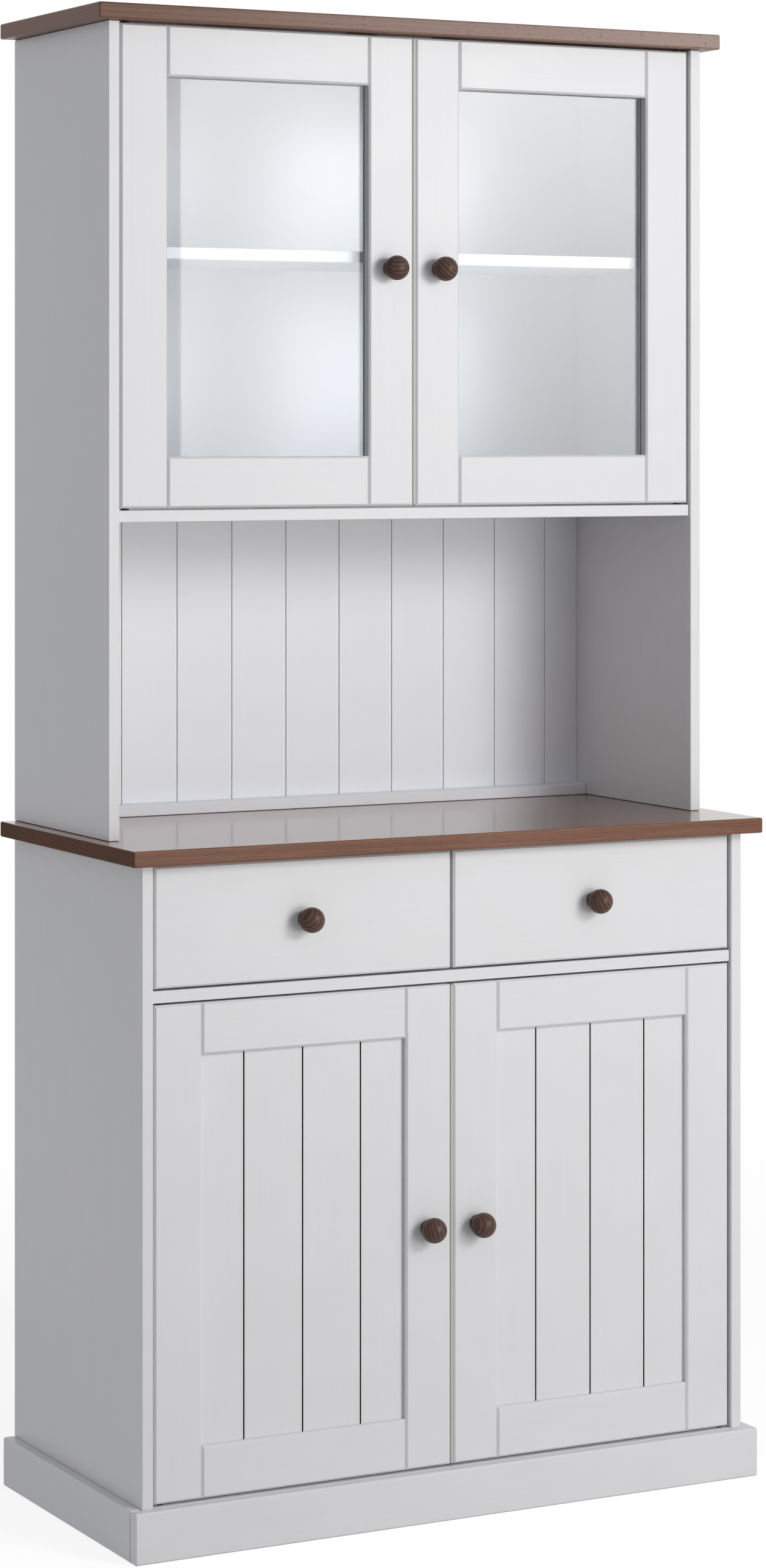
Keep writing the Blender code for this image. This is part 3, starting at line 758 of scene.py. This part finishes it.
def grooved_outline(low, high, places, groove):
    """Outline of an upright sheet with grooves down its front, and which of its sides lie deep in one.
    groove lists (across, depth, deep) for the corners of one, from left to right."""
    points, inside = [(low.x, low.y)], [False]
    for place in places:
        for across, depth, deep in groove:
            points.append((place + across, low.y + depth))
            inside.append(deep)
    points += [(high.x, low.y), (high.x, high.y), (low.x, high.y)]
    inside += [False, False, False]
    return points, inside


class BUFFET_OT_backs(bpy.types.Operator):
    """Build the niche's grooved back, the plain backs, the strip over their joint and their nails"""

    bl_idname = "buffet.backs"
    bl_label = "Backs"

    nail_edge = 7 * MM  # from a back's edge to its nails

    def execute(self, context):
        sizes = context.scene.buffet_sizes
        low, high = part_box("niche_back")
        count = round((high.x - low.x) / sizes.groove_pitch)
        places = [sizes.groove_pitch * (k - (count - 1) / 2) for k in range(count)]
        half, depth, joint = sizes.groove_width / 2, sizes.groove_depth, sizes.joint_width
        slope, joint_depth, arris = 0.7 * depth, 1.5 * depth, 0.2 * MM
        # A slope, a flat floor and then the open joint between two boards
        groove = [(-half, 0.0, False), (-half + slope, depth, False), (half - joint, depth, True),
                  (half - joint, joint_depth, True), (half, joint_depth, True), (half, arris, False),
                  (half + arris, 0.0, False)]
        for name, form, grooves, face, slot in (
            # The grooved back takes the whiter lacquer: painted light
            ("niche_back", "grooved", places, "painted_light_lacquer_z", "white_lacquer"),
            ("hutch_back", "sheet", (), "lacquer_z", "white_lacquer"),
            ("base_back", "sheet", (), "coated", "white_hardboard"),
        ):
            low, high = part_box(name)
            outline, _ = grooved_outline(low, high, grooves, groove)
            shape, sides = prism(outline, low.z, high.z)
            # The rear, the last side but one, is raw
            sides[-2].material_index = 1
            add_piece(f"{name}_{form}", shape, (finish(face), finish("raw")), "cabinet", (name,))
        self.add_strip(sizes)
        self.add_nails(sizes)
        return {"FINISHED"}

    def add_strip(self, sizes):
        low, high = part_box("hutch_back")
        half = sizes.strip_width / 2
        shape = rounded_box((low.x, high.y + 2 * AIR, low.z - half),
                            (high.x, high.y + 1 * MM, low.z + half), 0.3 * MM)
        add_piece("back_joint_strip", shape, (finish("plastic"),), "cabinet")

    def add_nails(self, sizes):
        """Round heads stand a little proud along the edges of each back."""
        radius, edge = sizes.nail_radius, self.nail_edge
        head = [(radius, 0.0), (radius, 0.2 * MM), (radius * 0.8, 0.6 * MM), (radius * 0.4, 0.8 * MM)]
        lay = Matrix.Rotation(-math.pi / 2, 4, "X")
        for name in ("niche_back", "hutch_back", "base_back"):
            low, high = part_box(name)
            left, right = low.x + edge, high.x - edge
            rise = math.ceil((high.z - low.z - 2 * edge) / sizes.nail_pitch)
            run = math.ceil((right - left) / sizes.nail_pitch)
            end = low.z + edge if name != "hutch_back" else high.z - edge
            spots = [(x, low.z + 4 * edge + (high.z - low.z - 8 * edge) * k / rise)
                     for x in (left, right) for k in range(rise + 1)]
            spots += [(left + (right - left) * k / run, end) for k in range(1, run)]
            shapes = []
            for x, z in spots:
                shape = turned_shape(head, sides=12)
                bmesh.ops.transform(shape, matrix=Matrix.Translation((x, high.y + AIR, z)) @ lay,
                                    verts=shape.verts)
                shapes.append(shape)
            add_piece(f"{name}_nails", join_shapes(shapes), (finish("zinc"),), "cabinet")


class BUFFET_OT_frames(bpy.types.Operator):
    """Finish the stiles and rails of the doors, and the drawer fronts"""

    bl_idname = "buffet.frames"
    bl_label = "Door frames and drawer fronts"

    def execute(self, context):
        arris = context.scene.buffet_sizes.arris
        parts = [f"{door}_{part}" for door in DOORS for part in
                 ("hinge_stile", "pull_stile", "bottom_rail", "top_rail")]
        for name in parts + [f"drawer_{side}_front" for side, _ in SIDES]:
            dress_node(name, lacquer_along(*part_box(name)), arris)
        return {"FINISHED"}


class BUFFET_OT_meeting_strips(bpy.types.Operator):
    """Build the strips that close the gap between the two doors of a pair"""

    bl_idname = "buffet.meeting_strips"
    bl_label = "Meeting strips"

    # Left and right edges of the strip's face, and the right one of its foot, as shares of the gap
    face_left, face_right, foot_right = 0.05, 0.90, 0.5

    def execute(self, context):
        depth = context.scene.buffet_sizes.strip_depth
        for row in ("lower", "upper"):
            left, right = (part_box(f"{row}_{side}_door_pull_stile") for side, _ in SIDES)
            start = left[1].x
            gap = right[0].x - start
            front, back = left[0].y + depth, left[1].y - 1 * MM
            bottom, top = left[0].z + 1 * MM, left[1].z - 1 * MM
            # The face stands clear of both doors, and the foot behind it holds on to the left one
            face = rounded_box((start + self.face_left * gap, front, bottom),
                               (start + self.face_right * gap, back, top), 0.2 * MM, segments=2)
            foot = rounded_box((start, front + 1.2 * MM, bottom + 1 * MM),
                               (start + self.foot_right * gap, back - 1 * MM, top - 1 * MM), 0.2 * MM,
                               segments=2)
            add_piece(f"{row}_doors_meeting_strip", join_shapes([face, foot]), (finish("seal"),),
                      f"{row}_left_door")
        return {"FINISHED"}


class BUFFET_OT_panels(bpy.types.Operator):
    """Build the slotted panels of the lower doors"""

    bl_idname = "buffet.panels"
    bl_label = "Lower panels"

    def execute(self, context):
        sizes = context.scene.buffet_sizes
        for name in (f"{door}_panel" for door in DOORS if door.startswith("lower")):
            low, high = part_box(name)
            middle = (low.x + high.x) / 2
            places = [middle + sizes.slot_pitch * k for k in (-1, 0, 1)]
            half, depth, arris = sizes.slot_width / 2, sizes.slot_depth, 0.25 * MM
            slot = [(-half - arris, 0.0, False), (-half, arris, True), (-0.8 * half, depth, True),
                    (0.8 * half, depth, True), (half, arris, False), (half + arris, 0.0, False)]
            outline, inside = grooved_outline(low, high, places, slot)
            shape, sides = prism(outline, low.z, high.z)
            # The deep faces of each slot take the darker wood: bare pine with painted shade
            for face, deep in zip(sides, inside):
                face.material_index = int(deep)
            add_piece(f"{name}_slotted", shape, (finish("lacquer_z"), finish("bare")), BODY_OF[name],
                      (name,))
        return {"FINISHED"}


class BUFFET_OT_panes(bpy.types.Operator):
    """Build the panes of the upper doors"""

    bl_idname = "buffet.panes"
    bl_label = "Panes"

    def execute(self, context):
        panes = []
        for name in (f"{door}_glass" for door in DOORS if door.startswith("upper")):
            shape = rounded_box(*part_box(name), context.scene.buffet_sizes.pane_arris, segments=1)
            pane = add_piece(f"{name}_pane", shape, (finish("glass"),), BODY_OF[name], (name,))
            pane.visible_shadow = False
            panes.append(pane)
        self.share_light(context.scene, panes)
        return {"FINISHED"}

    @staticmethod
    def share_light(scene, panes):
        """The panes mirror two cards instead of the softboxes, and hold back light from what is behind."""
        back, shelf = bpy.data.objects["hutch_back_sheet"], NODES["hutch_shelf"]
        cards = [add_lamp(scene, *card) for card in CARDS]
        for card in cards:
            card.visible_diffuse = False
        name, place, target, size, power, tint, core = SOFTBOXES[0]
        dimmed = add_lamp(scene, "key_through_glass", place, target, size, power * THROUGH_GLASS, tint, core)
        dimmed.visible_glossy = False
        link_light(cards, panes)
        link_light((dimmed,), (back, shelf))
        link_light((bpy.data.objects[name],), panes + [back, shelf], "EXCLUDE")
        link_light([bpy.data.objects[other[0]] for other in SOFTBOXES[1:]], panes + [shelf], "EXCLUDE")


class BUFFET_OT_drawers(bpy.types.Operator):
    """Finish the boxes and bottoms of the drawers"""

    bl_idname = "buffet.drawers"
    bl_label = "Drawer boxes"

    def execute(self, context):
        for side, _ in SIDES:
            for part in ("box", "bottom"):
                dress_node(f"drawer_{side}_{part}", finish("coated"), context.scene.buffet_sizes.arris)
        return {"FINISHED"}


class BUFFET_OT_knobs(bpy.types.Operator):
    """Build the turned knobs"""

    bl_idname = "buffet.knobs"
    bl_label = "Knobs"

    # How far each knob is turned in its hole, which turns its figure
    turns = {"upper_left_door": 8, "upper_right_door": -38, "drawer_left": 52, "drawer_right": -60,
             "lower_left_door": -75, "lower_right_door": 80}

    def execute(self, context):
        sizes = context.scene.buffet_sizes
        for owner, turn in self.turns.items():
            name = f"{owner}_knob"
            low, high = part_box(name)
            place = Vector(((low.x + high.x) / 2, high.y, (low.z + high.z) / 2))
            profile = self.profile(sizes, (high.x - low.x) / 2, high.y - low.y)
            matrix = (Matrix.Translation(place) @ Matrix.Rotation(math.pi / 2, 4, "X")
                      @ Matrix.Rotation(math.radians(turn), 4, "Z"))
            add_piece(f"{name}_turned", turned_shape(profile, sides=64), (finish("knob"),), BODY_OF[name],
                      (name,), matrix)
        return {"FINISHED"}

    @staticmethod
    def profile(sizes, ball, reach):
        """Half section from the back of the collar to the front of the ball."""
        centre = reach - ball
        lip, lip_steps, ball_steps = 1.2 * MM, 6, 22
        points = [(sizes.collar_radius - 0.4 * MM, 0.0)]
        for step in range(lip_steps + 1):
            angle = math.pi / 2 * step / lip_steps
            points.append((sizes.collar_radius - lip + lip * math.cos(angle),
                           sizes.collar_height - lip + lip * math.sin(angle)))
        # The ball begins where it is as wide as the neck
        meeting = -math.acos(sizes.neck_radius / ball)
        for step in range(ball_steps):
            angle = meeting + (math.pi / 2 - meeting) * step / ball_steps
            points.append((ball * math.cos(angle), centre + ball * math.sin(angle)))
        points.append((0.05 * MM, reach))
        return points


class BUFFET_OT_hardware(bpy.types.Operator):
    """Finish the pivots, and build the shelf pins, the knobs' screws and the catches"""

    bl_idname = "buffet.hardware"
    bl_label = "Hardware"

    def execute(self, context):
        sizes = context.scene.buffet_sizes
        for door in DOORS:
            for end in ("low", "high"):
                dress_node(f"{door}_pivot_{end}", finish("blackened"), 0.2 * MM)
        for owner in BUFFET_OT_knobs.turns:
            self.add_knob_screw(owner, sizes)
        for shelf, side in (("hutch_shelf", "hutch_side"), ("base_shelf", "base_side")):
            self.add_shelf_pins(shelf, side, sizes)
        for row, board in (("upper", "crown_board"), ("lower", "drawer_deck")):
            self.add_catches(row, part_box(board)[0].z, sizes)
        return {"FINISHED"}

    def add_knob_screw(self, owner, sizes):
        """A pan head on its washer behind each knob."""
        low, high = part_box(f"{owner}_knob")
        if owner.startswith("drawer"):
            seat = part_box(f"{owner}_box")[0].y + sizes.box_wall
        else:
            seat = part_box(f"{owner}_pull_stile")[1].y
        radius = sizes.screw_radius
        # Washer, head with a rounded rim, and the recess in it
        profile = [(1.25 * radius, 0.0), (1.25 * radius, 0.5 * MM), (radius, 0.6 * MM), (radius, 1.3 * MM),
                   (0.8 * radius, 2.1 * MM), (0.5 * radius, 2.4 * MM), (0.42 * radius, 2.3 * MM),
                   (0.38 * radius, 1.1 * MM)]
        place = Vector(((low.x + high.x) / 2, seat + AIR, (low.z + high.z) / 2))
        matrix = Matrix.Translation(place) @ Matrix.Rotation(-math.pi / 2, 4, "X")
        add_piece(f"{owner}_knob_screw", turned_shape(profile, sides=32), (finish("zinc"),),
                  BODY_OF[f"{owner}_knob"], matrix=matrix)

    def add_shelf_pins(self, shelf, side, sizes):
        """Four pins in the side boards carry each shelf."""
        low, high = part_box(shelf)
        radius, reach = sizes.pin_radius, sizes.pin_reach
        profile = [(radius, 0.0), (radius, reach - 0.6 * MM), (radius - 0.5 * MM, reach)]
        shapes = []
        for hand, sign in SIDES:
            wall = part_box(f"{side}_{hand}")[1 if sign < 0 else 0].x - sign * AIR
            for y in (low.y + sizes.pin_inset, high.y - sizes.pin_inset):
                shape = turned_shape(profile, sides=24)
                place = Matrix.Translation((wall, y, low.z - radius - AIR))
                bmesh.ops.transform(shape, matrix=place @ Matrix.Rotation(-sign * math.pi / 2, 4, "Y"),
                                    verts=shape.verts)
                shapes.append(shape)
        add_piece(f"{shelf}_pins", join_shapes(shapes), (finish("zinc"),), "cabinet")

    def add_catches(self, row, ceiling, sizes):
        """A magnet in a moulded case under the board above each door, and its plate on the door."""
        plate_t, clear, pole_half, pole_out = 1 * MM, 0.6 * MM, 0.6 * MM, 0.4 * MM
        cases, poles = [], []
        for hand, sign in SIDES:
            door = f"{row}_{hand}_door"
            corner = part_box(f"{door}_top_rail")[1]
            back, middle = corner.y, sign * sizes.catch_inset
            half, drop = sizes.catch_length / 2, sizes.catch_height
            front = back + plate_t + clear
            cases.append(rounded_box((middle - half, front, ceiling - drop),
                                     (middle + half, front + sizes.catch_depth, ceiling - 2 * AIR), 1 * MM))
            for z in (ceiling - 0.35 * drop, ceiling - 0.7 * drop):
                poles.append(rounded_box((middle - 0.8 * half, front - pole_out, z - pole_half),
                                         (middle + 0.8 * half, front + 3 * MM, z + pole_half), 0.2 * MM))
            plate = rounded_box((middle - 0.9 * half, back + 2 * AIR, corner.z - drop),
                                (middle + 0.9 * half, back + plate_t, corner.z - 1 * MM), 0.3 * MM)
            add_piece(f"{door}_catch_plate", plate, (finish("zinc"),), door)
        add_piece(f"{row}_catch_cases", join_shapes(cases), (finish("plastic"),), "cabinet")
        add_piece(f"{row}_catch_poles", join_shapes(poles), (finish("zinc"),), "cabinet")


class BUFFET_PT_panel(bpy.types.Panel):
    """Lists the buffet's builders, sizes and colours"""

    bl_label = "Kitchen buffet"
    bl_idname = "BUFFET_PT_panel"
    bl_space_type = "VIEW_3D"
    bl_region_type = "UI"
    bl_category = "Buffet"

    def draw(self, context):
        for operator in OPERATORS:
            self.layout.operator(operator.bl_idname)
        for group in (context.scene.buffet_sizes, context.scene.buffet_colours):
            box = self.layout.box()
            for name in group.__annotations__:
                box.prop(group, name)


OPERATORS = (
    BUFFET_OT_stage, BUFFET_OT_carcass, BUFFET_OT_tops, BUFFET_OT_backs, BUFFET_OT_frames,
    BUFFET_OT_meeting_strips, BUFFET_OT_panels, BUFFET_OT_panes, BUFFET_OT_drawers, BUFFET_OT_knobs,
    BUFFET_OT_hardware,
)
CLASSES = (BuffetSizes, BuffetColours, *OPERATORS, BUFFET_PT_panel)


def register():
    for cls in CLASSES:
        bpy.utils.register_class(cls)
    bpy.types.Scene.buffet_sizes = bpy.props.PointerProperty(type=BuffetSizes)
    bpy.types.Scene.buffet_colours = bpy.props.PointerProperty(type=BuffetColours)


def unregister():
    del bpy.types.Scene.buffet_colours
    del bpy.types.Scene.buffet_sizes
    for cls in reversed(CLASSES):
        bpy.utils.unregister_class(cls)


def main():
    register()
    for operator in OPERATORS:
        group, name = operator.bl_idname.split(".")
        getattr(getattr(bpy.ops, group), name)()


if __name__ == "__main__":
    main()
